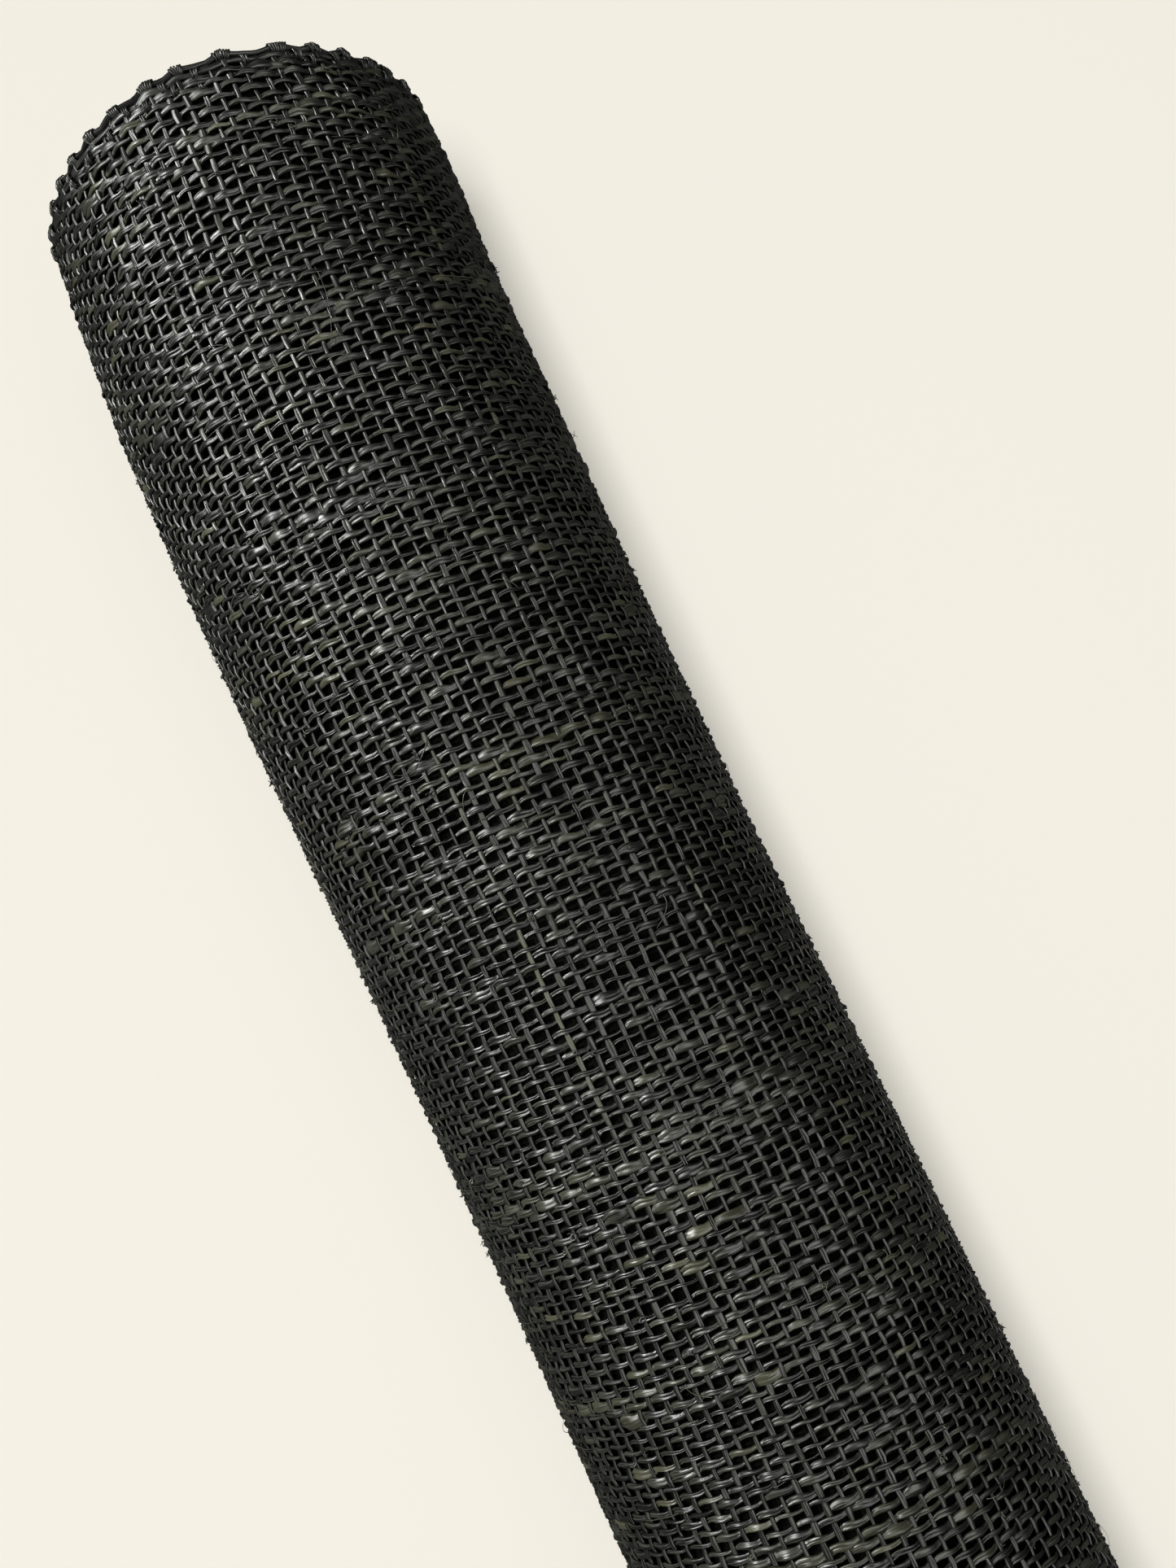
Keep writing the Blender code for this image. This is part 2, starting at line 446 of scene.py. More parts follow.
def strip_template(stations, sides):
    """A prism with a ring at each station. Its two maps hold the station and the corner."""
    bm = bmesh.new()
    bmesh.ops.create_cone(
        bm, cap_ends=True, segments=sides, radius1=1.0, radius2=1.0, depth=stations - 1
    )
    bmesh.ops.translate(bm, verts=bm.verts, vec=(0.0, 0.0, (stations - 1) / 2))
    long_edges = [e for e in bm.edges if abs(e.verts[0].co.z - e.verts[1].co.z) > 0.5]
    bmesh.ops.subdivide_edges(bm, edges=long_edges, cuts=stations - 2, use_grid_fill=True)
    strip_map = bm.loops.layers.uv.new("strip")
    bake_map = bm.loops.layers.uv.new("OFBake")
    for face in bm.faces:
        corners = [corner_of(loop.vert.co, sides) for loop in face.loops]
        cap = abs(face.normal.z) > 0.5
        for loop, corner in zip(face.loops, corners):
            if corner == 0 and sides - 1 in corners and not cap:
                corner = sides
            loop[strip_map].uv = (loop.vert.co.z, corner)
            loop[bake_map].uv = (1.0 if cap else 0.0, corner)
    if sides == FOLDED.shape[1]:
        for edge in bm.edges:
            edge.smooth = {corner_of(vert.co, sides) for vert in edge.verts} != {CREASE_CORNER}
    return finished_mesh("strip template", bm)


def corner_of(point, sides):
    """Which corner of the prism this is, counted round from +X."""
    return round(math.atan2(point.y, point.x) / (2 * math.pi / sides)) % sides


def numbers(items, name, width=1):
    """One property of all a mesh's items, as an array."""
    found = np.empty(len(items) * width, np.float32)
    items.foreach_get(name, found)
    return found.reshape(-1, width) if width > 1 else found


def unit(vectors):
    return vectors / np.maximum(np.linalg.norm(vectors, axis=-1, keepdims=True), 1e-12)


def lay_strips(name, centres, up, width, thick, tilt, lightness, olive=0.0, crease=None):
    """Lays strips along centres[strip, station], crown towards up, and joins them in a mesh.

    Width and thickness are in metres and tilt, in radians, turns a strip about its own run.
    With a crease, from 0 to 1, a strip is folded and has two strands.
    """
    count, stations = centres.shape[:2]
    corner_side, corner_up, corner_crease = PLAIN if crease is None else FOLDED
    sides = len(corner_side)
    template = strip_template(stations, sides)
    bm = bmesh.new()
    for _ in range(count):
        bm.from_mesh(template)
    mesh = finished_mesh(name, bm)

    local = numbers(mesh.vertices, "co", 3)
    station = np.rint(local[:, 2]).astype(int)
    corner = np.rint(np.arctan2(local[:, 1], local[:, 0]) / (2 * np.pi / sides)).astype(int)
    corner = corner % sides
    strip = np.repeat(np.arange(count), len(local) // count)

    along = unit(np.gradient(centres, axis=1))
    side = unit(np.cross(up, along))
    crown = np.cross(along, side)
    shape = (count, stations)
    crease = 0.0 if crease is None else crease
    width, thick, tilt, lightness, olive, crease = (
        np.broadcast_to(given, shape) for given in (width, thick, tilt, lightness, olive, crease)
    )
    turn = tilt[..., None]
    tilted_side = side * np.cos(turn) + crown * np.sin(turn)
    tilted_crown = crown * np.cos(turn) - side * np.sin(turn)
    here = (strip, station)
    rise = (corner_up[corner] + corner_crease[corner] * crease[here]) * thick[here]
    points = centres[here] + tilted_side[here] * (corner_side[corner] * width[here])[:, None]
    points = points + tilted_crown[here] * rise[:, None]
    points[:, 2] = np.maximum(points[:, 2], LOWEST)
    mesh.vertices.foreach_set("co", points.astype(np.float32).ravel())
    for label, values in (("lightness", lightness), ("olive", olive)):
        layer = mesh.attributes.new(label, "FLOAT", "POINT")
        layer.data.foreach_set("value", values[here].astype(np.float32))

    lay_out_maps(mesh, sides, centres, width)
    mesh.polygons.foreach_set("use_smooth", np.ones(len(mesh.polygons), bool))
    mesh.update()
    bpy.data.meshes.remove(template)
    piece = add_object(name, mesh)
    print(name, "has", count, "strips and", len(mesh.loops) - 2 * len(mesh.polygons), "triangles")
    return piece


# A strip's girth in widths, its fibres' slant, and the free share beside it in its map
GIRTH_IN_WIDTHS = 2.4
FIBRE_TWIST = 0.08
MAP_MARGIN = 0.08


def lay_out_maps(mesh, sides, centres, width):
    """Real lengths for the strip map, and a column of the bake map for each strip.

    The strip map is slanted a little, because the fibres of a twisted strip run slantwise, and
    the strips lie apart in it, so that no two have the same grain.
    """
    count, stations = centres.shape[:2]
    steps = np.linalg.norm(np.diff(centres, axis=1), axis=-1)
    length_at = np.concatenate([np.zeros((count, 1)), np.cumsum(steps, axis=1)], axis=1)
    strip_map = mesh.uv_layers["strip"]
    bake_map = mesh.uv_layers["OFBake"]
    read = numbers(strip_map.data, "uv", 2)
    cap = numbers(bake_map.data, "uv", 2)[:, 0] > 0.5
    strip = np.repeat(np.arange(count), len(read) // count)
    station = np.rint(read[:, 0]).astype(int)
    round_share = read[:, 1] / sides
    girth = GIRTH_IN_WIDTHS * width.mean()
    run = length_at[strip, station]
    real = np.stack([run + 0.37 * strip, girth * (round_share + 3 * strip) + FIBRE_TWIST * run], -1)
    strip_map.data.foreach_set("uv", real.astype(np.float32).ravel())

    down = max(1, round(math.sqrt(count / stations)))
    across = math.ceil(count / down)
    share = 0.02 + 0.96 * station / (stations - 1)
    # The caps are small ovals in what is left free below and above the sides
    cap_turn = 2 * np.pi * round_share
    cap_up = 0.007 + 0.005 * np.sin(cap_turn) + (station > 0) * 0.985
    share = np.where(cap, cap_up, share)
    round_share = np.where(cap, 0.5 + 0.3 * np.cos(cap_turn), round_share)
    u = (strip % across + MAP_MARGIN + (1 - 2 * MAP_MARGIN) * round_share) / across
    v = (strip // across + share) / down
    bake_map.data.foreach_set("uv", np.stack([u, v], -1).astype(np.float32).ravel())


# %% [markdown]
# ## The finish of the strips
# Raffia is a plant skin: a waxy outer side with long parallel fibres. Dyed black it is really
# a very dark warm grey, and where the dye took badly it shows olive. The skin gives a satin
# sheen, not a gloss, and the fibres break the glint into short streaks along the strip. Single
# fibres are about 0.1 mm apart, too fine to show from here, so the bundles of them that show
# as ridges are drawn instead, some 0.3 mm apart, with painted shade darkening the furrows.

# %% Dyed raffia
FIBRE_PITCH = 0.30 * MM
BLOTCH_WIDTH = 1.2 * MM
STREAK_LENGTH = 12 * MM
FIBRE_RELIEF = 0.10 * MM
PLANT_SKIN_IOR = 1.5
SATIN_ROUGHNESS = 0.36
# The dye runs from dark to worn. The light end also serves as painted light on the rows' left feet,
# and the dark end as painted shade in the furrows
DARK_DYE = "#070707"
WORN_DYE_AND_PAINTED_LIGHT = "#2e2f28"
OLIVE_DYE = "#4f4f3e"

# From furrows to ridges: the noise, the dye's streaks and painted furrow shade, the roughness
NOISE_RANGE = (0.3, 0.7)
STREAK_AND_FURROW_SHADE_RANGE = (-1.45, 0.50)
ROUGHNESS_RANGE = (SATIN_ROUGHNESS - 0.08, SATIN_ROUGHNESS + 0.10)
BLOTCH_STRENGTH = 0.5
RELIEF_STRENGTH = 0.8

# A Mix node's colour sockets, which only their numbers tell apart
MIX_A, MIX_B, MIXED = 6, 7, 2


def dyed_raffia():
    material, shader = new_material("black-dyed raffia strip", SATIN_ROUGHNESS, PLANT_SKIN_IOR)
    tree = material.node_tree
    strip_map = add_node(tree, "UVMap", {"uv_map": "strip"})
    noises = []
    for pitch, detail in ((FIBRE_PITCH, 1.0), (BLOTCH_WIDTH, 3.0)):
        stretched = add_node(
            tree, "Mapping", {"Scale": (1 / STREAK_LENGTH, 1 / pitch, 1.0)},
            {"Vector": strip_map.outputs["UV"]},
        )
        noise = add_node(
            tree, "TexNoise",
            {"noise_dimensions": "2D", "Scale": 1.0, "Detail": detail},
            {"Vector": stretched.outputs["Vector"]},
        )
        noises.append(noise.outputs["Fac"])
    fibres, blotches = noises
    ranges = []
    for low, high in (STREAK_AND_FURROW_SHADE_RANGE, ROUGHNESS_RANGE):
        between = add_node(
            tree, "MapRange",
            {"From Min": NOISE_RANGE[0], "From Max": NOISE_RANGE[1],
             "To Min": low, "To Max": high},
            {"Value": fibres},
        )
        ranges.append(between.outputs["Result"])
    streaks_and_furrow_shade, skin_roughness = ranges
    lightness = add_node(tree, "Attribute", {"attribute_name": "lightness"})
    olive = add_node(tree, "Attribute", {"attribute_name": "olive"})
    uneven = add_node(
        tree, "Math", {"operation": "MULTIPLY_ADD", 1: BLOTCH_STRENGTH},
        {0: blotches, 2: streaks_and_furrow_shade},
    )
    # Painted light and shade join the dye's wear here: lighter arch feet and darker furrows
    wear_and_painted_light = add_node(
        tree, "Math", {"operation": "ADD", "use_clamp": True},
        {0: uneven.outputs["Value"], 1: lightness.outputs["Fac"]},
    )
    dye = add_node(
        tree, "Mix",
        {"data_type": "RGBA", MIX_A: linear(DARK_DYE), MIX_B: linear(WORN_DYE_AND_PAINTED_LIGHT)},
        {0: wear_and_painted_light.outputs["Value"]},
    )
    colour = add_node(
        tree, "Mix",
        {"data_type": "RGBA", MIX_B: linear(OLIVE_DYE)},
        {0: olive.outputs["Fac"], MIX_A: dye.outputs[MIXED]},
    )
    relief = add_node(
        tree, "Bump", {"Strength": RELIEF_STRENGTH, "Distance": FIBRE_RELIEF},
        {"Height": fibres},
    )
    tree.links.new(colour.outputs[MIXED], shader.inputs["Base Color"])
    tree.links.new(skin_roughness, shader.inputs["Roughness"])
    tree.links.new(relief.outputs["Normal"], shader.inputs["Normal"])
    return material


raffia = dyed_raffia()
print(raffia.name, "is drawn with", len(raffia.node_tree.nodes), "nodes")


def finish_piece(piece, material):
    """Gives a piece its finish, and fixes it to the roll in the solid's place."""
    piece.data.materials.append(material)
    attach(piece, "root")
    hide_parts("raffia_roll")


def lay_raffia(name, turns, y, height, *look):
    """Lays strips at these places in the cloth, and finishes them as dyed raffia."""
    finish_piece(lay_strips(name, place(turns, y, height), outward(turns), *look), raffia)


def lay_parts(name, cuts, *tables):
    """Lays a table of strips as pieces a, b and c, cut at these strips to keep each light."""
    for letter, *part in zip("abc", *(np.split(table, cuts) for table in tables)):
        lay_raffia(f"{name}_{letter}", *part)


# %% [markdown]
# ## The selvedge's bumps
# The outermost row is a thick cord of raffia. Every second or third strip, a small bundle of
# thin fibres binds it to the cloth and pulls the edge up into a bump. Between the bumps the
# edge is drawn in. Where the bundles are is settled here, because the rows bend with them.

# %% Places of the selvedge's bundles
# Counted in strips: the first bundle, the gap to the next, and the room round seen ones
FIRST_BUNDLE = 0.6
BUNDLE_GAP = (1.9, 2.9)
SEEN_MARGIN = 1.5

BUMP_HALF_WIDTH = 3.1 * MM
BUMP_HEIGHT = 1.05 * MM
DIP = 0.55 * MM
DRAWN_FROM = 0.985
DRAWN_IN = 1.15 * MM
PULLED_OUT = 1.0 * MM

# How much of a bump a row takes, by how many rows in from the edge it is
BUMP_SHARES = {0: 1.0, 1: 0.8, 2: 0.4, 3: 0.15}

# The bundles that show at the far selvedge, in degrees from the roll's top
SEEN_BUNDLES_DEG = (
    -82.0, -71.3, -60.5, -50.6, -42.1, -32.9, -23.1, -11.8, -2.6, 10.3,
    25.4, 35.2, 45.0, 54.6, 60.9, 71.5, 82.0,
)


def turns_at(degrees):
    """The share of a turn in from the loose end, for an angle from the roll's top."""
    return (np.radians(degrees) - LAP_ANGLE) / (2 * np.pi)


def bundle_places(seen):
    """The turns at which a bundle binds the edge: where they show, else two or three strips on."""
    strips = [FIRST_BUNDLE]
    while strips[-1] < STRIPS - 3:
        strips.append(strips[-1] + chance.uniform(*BUNDLE_GAP))
    places = np.array(strips) / STRIPS_ROUND
    if len(seen):
        margin = SEEN_MARGIN / STRIPS_ROUND
        places = places[(places < min(seen) - margin) | (places > max(seen) + margin)]
    return np.sort(np.concatenate([places, seen]))


bundles = {-1: bundle_places([]), 1: bundle_places(turns_at(np.array(SEEN_BUNDLES_DEG)))}


def bump(turns, side):
    """From 0 between two bundles to 1 at a bundle."""
    apart = (turns[..., None] - bundles[side]) * ROLL_GIRTH
    return np.exp(-(apart / BUMP_HALF_WIDTH) ** 2).max(axis=-1)


drawn_share = rising(end_share, DRAWN_FROM, 1.0)
crossing_height = np.zeros_like(crossing_y)
for side in (-1, 1):
    edge_bump = bump(crossing_turns, side)
    on_side = np.sign(row_places) == side
    crossing_height -= on_side * drawn_share * (DRAWN_IN - PULLED_OUT * edge_bump)
    for inward, bump_share in BUMP_SHARES.items():
        row = ROWS - 1 - inward if side > 0 else inward
        crossing_y[:, row] += side * bump_share * (BUMP_HEIGHT * edge_bump[:, row] - DIP)
print(len(bundles[1]), "bundles bind the far selvedge, and", len(bundles[-1]), "the near one")

# %% [markdown]
# ## The turns inside
# Under the outer turn lie about thirty more of the same cloth. Only the outermost of them
# shows, dimly, through the gaps of the weave, and all of them show as a spiral in the two
# ends. So they are one thin sheet: a grid, moved to the spiral and given its thickness.

# %% Inner turns as one sheet
# Where the sheet starts and ends, in turns, its steps to the outermost turn, and the share of
# the radius inside which the steps get no longer
FIRST_TURN = 1.03
TURNS = 31.5
STEPS_PER_TURN = 44
LONGEST_STEP_SHARE = 0.4

SHEET_THICKNESS = 0.5 * MM
WEAVE_DEPTH = 0.52 * MM
FACE_INSET = 3.0 * MM
RIM_SHARE = 0.86
RIM_INSET = 0.9 * MM
OVAL = 0.9 * MM

# How uneven the turns are at their ends and in their round, and how often in a turn
END_SWELL, SWELLS_PER_TURN = 0.8 * MM, 5
SETTLING, SETTLINGS_PER_TURN = 0.14 * MM, 9

# The sheet's stations from selvedge to selvedge
SPAN_SHARES = np.array([-1.0, -0.992, -0.96, -0.86, -0.45, 0.0, 0.45, 0.86, 0.96, 0.992, 1.0])


def turn_steps(first, last, per_turn):
    """Places along the spiral, fewer to a turn where its turns are small."""
    places = [first]
    while places[-1] < last:
        share = max(depth_share(places[-1]), LONGEST_STEP_SHARE)
        places.append(places[-1] + 1 / (per_turn * share))
    return np.array(places)


end_swell = wander(2, 400, 3)
turn_settling = wander(1, 600, 2)[0]


def swing_at(swing, turns, per_turn):
    """A wander with this many steps to a turn, read along the spiral."""
    return np.interp(turns * per_turn, np.arange(len(swing)), swing)


def end_of_turn(turns, side):
    """How far along the roll the cloth's edge lies: strayed outside, in a flat face inside."""
    outer = rising(depth_share(turns), RIM_SHARE, 1.0)
    near, far = (swing_at(swing, turns, SWELLS_PER_TURN) for swing in end_swell)
    face = HALF_LENGTH - FACE_INSET + END_SWELL * np.where(side < 0, near, far)
    rim = HALF_LENGTH - strayed(turns) - RIM_INSET
    return side * (face * (1 - outer) + rim * outer)


def settled(turns):
    """The small in and out of the inner turns, which never lie quite round."""
    share = depth_share(turns)
    oval = OVAL * np.sin(2 * angle_of(turns) + 0.7) * 4 * share * (1 - share)
    return oval + SETTLING * swing_at(turn_settling, turns, SETTLINGS_PER_TURN)


def inner_turns():
    steps = turn_steps(FIRST_TURN, TURNS, STEPS_PER_TURN)
    bm = bmesh.new()
    long, wide = len(steps) - 1, len(SPAN_SHARES) - 1
    bmesh.ops.create_grid(bm, x_segments=long, y_segments=wide, size=1.0)
    mesh = bpy.data.meshes.new("inner_turns")
    bm.to_mesh(mesh)
    local = numbers(mesh.vertices, "co", 3)
    step = np.rint((local[:, 0] + 1) / 2 * long).astype(int)
    span = np.rint((local[:, 1] + 1) / 2 * wide).astype(int)
    turns = steps[step]
    share = SPAN_SHARES[span]
    y = np.abs(share) * end_of_turn(turns, np.where(share < 0, -1.0, 1.0))
    points = place(turns, y, settled(turns) - WEAVE_DEPTH + SHEET_THICKNESS / 2)
    mesh.vertices.foreach_set("co", points.astype(np.float32).ravel())

    step_lengths = np.diff(steps) * ROLL_GIRTH * depth_share(steps[1:])
    lengths = np.concatenate([[0.0], np.cumsum(step_lengths)])
    cloth_map = mesh.uv_layers.new(name="cloth")
    vertex = np.empty(len(mesh.loops), np.int32)
    mesh.loops.foreach_get("vertex_index", vertex)
    real = np.stack([lengths[step], y], -1)[vertex]
    cloth_map.data.foreach_set("uv", real.astype(np.float32).ravel())

    bm.clear()
    bm.from_mesh(mesh)
    bmesh.ops.solidify(bm, geom=bm.faces, thickness=SHEET_THICKNESS)
    bmesh.ops.recalc_face_normals(bm, faces=bm.faces)
    bm.to_mesh(mesh)
    bm.free()
    mesh.polygons.foreach_set("use_smooth", np.ones(len(mesh.polygons), bool))
    print("the inner turns are", round(lengths[-1], 2), "m of cloth")
    return add_object("inner_turns", mesh)


# %% [markdown]
# The sheet has no strips of its own, so its material draws them: bars along the roll at the
# weft's spacing and rows round it at the warp's, over gaps painted black as shade. Both are
# read from the cloth's own map, which is in metres, so the drawn weave matches the woven one.
# It is the same raffia, painted darker as shade, and no light glints so far down, so it is
# made dull.

# %% Material of the inner turns
# Painted shade: near-black gaps, and deep strips far darker than the outer ones
PAINTED_SHADE_GAP = "#030303"
SHADED_DEEP_STRIP = "#0c0c0a"
DULL_ROUGHNESS = 0.7
DEEP_RELIEF = 0.4 * MM
WOBBLE_LENGTH = 6.25 * MM

# The length of a band of Blender's Wave texture at a scale of 1
WAVE_BAND = math.pi / 10

# The direction across the drawn strips, their spacing, and their width as a share of it
DRAWN_STRIPS = (("X", STRIP_PITCH, 0.30), ("Y", ROW_PITCH, 0.42))


def deep_weave():
    material, shader = new_material(
        "black-dyed raffia cloth with painted shade", DULL_ROUGHNESS, PLANT_SKIN_IOR
    )
    tree = material.node_tree
    shader.inputs["Specular IOR Level"].default_value = 0.0
    cloth_map = add_node(tree, "UVMap", {"uv_map": "cloth"})
    wobble = add_node(
        tree, "TexNoise",
        {"noise_dimensions": "2D", "Scale": 1 / WOBBLE_LENGTH, "Detail": 2.0},
        {"Vector": cloth_map.outputs["UV"]},
    )
    drawn = []
    for direction, pitch, wide in DRAWN_STRIPS:
        bands = add_node(
            tree, "TexWave",
            {"bands_direction": direction, "Scale": WAVE_BAND / pitch,
             "Distortion": 1.4, "Detail": 1.0, "Detail Scale": 0.6},
            {"Vector": cloth_map.outputs["UV"]},
        )
        strip = add_node(
            tree, "MapRange",
            {"From Min": 1 - wide, "From Max": 1 - wide / 2, "To Min": 0.0, "To Max": 1.0},
            {"Value": bands.outputs["Fac"]},
        )
        drawn.append(strip.outputs["Result"])
    woven = add_node(tree, "Math", {"operation": "MAXIMUM"}, {0: drawn[0], 1: drawn[1]})
    patchy = add_node(
        tree, "Math", {"operation": "MULTIPLY"},
        {0: woven.outputs["Value"], 1: wobble.outputs["Fac"]},
    )
    colour = add_node(
        tree, "Mix",
        {"data_type": "RGBA", MIX_A: linear(PAINTED_SHADE_GAP), MIX_B: linear(SHADED_DEEP_STRIP)},
        {0: patchy.outputs["Value"]},
    )
    relief = add_node(
        tree, "Bump", {"Strength": 1.0, "Distance": DEEP_RELIEF},
        {"Height": woven.outputs["Value"]},
    )
    tree.links.new(colour.outputs[MIXED], shader.inputs["Base Color"])
    tree.links.new(relief.outputs["Normal"], shader.inputs["Normal"])
    return material


sheet = inner_turns()
finish_piece(sheet, deep_weave())

# %% [markdown]
# ## The weft strips
# These run the length of the roll. The weaver keeps them nearly straight and the rows bend
# over and under them, so they rise and dip only a little. At both selvedges each one ends
# under the outermost row.

# %% Weft strips
# The strips' width in mm, their thickness, and how far they rise and dip
WEFT_WIDTH = (0.84, 1.28)
WEFT_THICKNESS = 0.40 * MM
WEFT_RISE = 0.20 * MM
WEFT_UNDER_EDGE = 0.42 * MM

weft_over = (strip_number + row_number) % 2 == 1
edge_row = (row_number == 0) | (row_number == ROWS - 1)


def lay_weft():
    shape = crossing_y.shape
    height = np.where(weft_over, WEFT_RISE, -WEFT_RISE)
    height = np.where(edge_row, -WEFT_UNDER_EDGE, height) + crossing_height
    width = each_strip(STRIPS, *WEFT_WIDTH) * (1 + 0.14 * wander(*shape, 12))
    width = width * np.where(weft_over, 1.1, 0.9) * np.where(edge_row, 0.5, 1.0)
    width = width * chance.lognormal(0.0, 0.15, shape) * (0.5 + 0.5 * packed_wide) * MM
    thick = WEFT_THICKNESS * (1 + 0.2 * wander(*shape, 5))
    tilt = 0.08 + 0.20 * wander(*shape, 6) + chance.normal(0.0, 0.12, shape)
    lightness = each_strip(STRIPS, 0.15, 0.70) + 0.22 * wander(*shape, 12)
    lightness = lightness + chance.normal(0.0, 0.10, shape) - 0.9 * (packed_wide - 1)
    olive = np.clip(wander(*shape, 10) - 0.70, 0.0, 0.25) * 2.0
    crease = np.clip(0.3 + 0.9 * wander(*shape, 5), 0.0, 1.0)
    lay_parts(
        "weft_strips", [STRIPS // 2], crossing_turns, crossing_y, height - WEAVE_DEPTH,
        width, thick, tilt, lightness, olive, crease,
    )


lay_weft()

# %% [markdown]
# ## The rows of warp
# The rows are more uneven. Each arches over one weft strip and dips under the next, and every
# arch is a different bit of the leaf: thin and tight, or wide and flat, or folded double. An
# arch also lies aslant, further along the roll at its left foot than at its right, and each arch
# is painted lighter at its left foot and darker towards its right end, as painted light from
# the left. Some rows have a slub where two strips are knotted, and whole bands of rows are lighter.

# %% Rows of warp
# Counted in strips: a row's rings in each two of them, and where it starts and ends
ROW_RINGS = np.array([-1.0, -0.55, -0.2, 0.2, 0.55])
ROW_START = -0.42
ROW_END = STRIPS - 0.58
ROW_STATIONS = 219

# A row's width in mm, how much it differs from arch to arch, its thickness and its rise
ROW_WIDTH = (0.98, 1.50)
ARCH_SPREAD = 0.27
ROW_THICKNESS = 0.54 * MM
ROW_RISE = 0.42 * MM

# How far an arch slants and bows along the roll, and how it leans, in radians
ROW_SLANT = -0.24 * MM
ROW_BOW = 0.06 * MM
ROW_LEAN = -0.10

# How much of a cord the rows are, from the outermost one inwards
CORDLIKE = (1.0, 0.6, 0.2, 0.0)
EDGE_ROW_THICKNESS = 1.25 * MM
SLUBS = 240
ROWS_A_PIECE = math.ceil(ROWS / 3)

# Rows that are lighter, wider and more olive than the rest: the place along the roll and half
# the band's width, in mm, then how much wider, how much lighter and how olive
BANDS = (
    (223, 1.5, 0.10, 0.20, 0.5),
    (180, 3.0, 0.25, 0.15, 0.2),
    (124, 2.0, 0.15, 0.12, 0.1),
    (118, 2.5, 0.35, 0.18, 0.3),
    (112, 2.0, 0.20, 0.10, 0.2),
    (102, 2.0, 0.15, 0.15, 0.1),
    (81, 3.0, 0.30, 0.10, 0.3),
    (61, 2.5, 0.20, 0.18, 0.1),
    (4, 2.0, 0.25, 0.15, 0.2),
    (1, 2.0, 0.10, 0.20, 0.1),
    (-38, 2.5, 0.20, 0.12, 0.2),
    (-77, 3.0, 0.30, 0.15, 0.3),
    (-121, 2.0, 0.20, 0.10, 0.1),
    (-164, 3.0, 0.25, 0.18, 0.2),
    (-207, 2.0, 0.20, 0.12, 0.3),
)


def row_places_of(parity):
    """Where a row's rings are, counted in strips: four over a strip that it crosses, one under."""
    periods = 2 * np.arange(-1, STRIPS // 2 + 2)[:, None] + parity
    places = (periods + ROW_RINGS).ravel()
    places = places[(places > ROW_START + 0.1) & (places < ROW_END - 0.1)]
    places = np.concatenate([[ROW_START], places, [ROW_END]])
    while len(places) < ROW_STATIONS:
        places = np.insert(places, -1, (places[-2] + places[-1]) / 2)
    return places


def row_run():
    """Turns, place along, height and phase of every row. Odd rows are one strip further on."""
    found = []
    for parity in (0, 1):
        places = row_places_of(parity)
        phase = np.pi * (places[:, None] + row_number)
        tables = (crossing_turns, crossing_y, crossing_height)
        found.append([read_strips(table, places).T for table in tables] + [phase.T])
    odd = (row_number[0] % 2 == 1)[:, None]
    return [np.where(odd, second, first) for first, second in zip(*found)]


def band_strength():
    """For each row, how much wider, lighter and more olive its band makes it."""
    strength = np.zeros((3, ROWS))
    for at, half_width, *amounts in BANDS:
        near = np.exp(-((row_places - at * MM) / (half_width * MM)) ** 2)
        strength += np.outer(amounts, near)
    return strength[:, :, None]


def add_slubs(width):
    """Swells a row here and there, where two strips are knotted or one is folded wide."""
    for _ in range(SLUBS):
        row = chance.integers(1, ROWS - 1)
        at = chance.integers(4, ROW_STATIONS - 5)
        reach = chance.integers(1, 4)
        swell = chance.uniform(0.3, 0.8)
        near = np.arange(at - reach, at + reach + 1)
        width[row, near] *= 1 + swell * np.cos((near - at) / (reach + 1) * np.pi / 2) ** 2


def each_arch(phase, spread):
    """A chance number for each arch of each row, the same all along that arch."""
    arch = np.floor((phase + np.pi - 0.01) / (2 * np.pi)).astype(int)
    arch = arch - arch.min()
    return np.take_along_axis(chance.normal(0.0, spread, (ROWS, arch.max() + 1)), arch, axis=1)


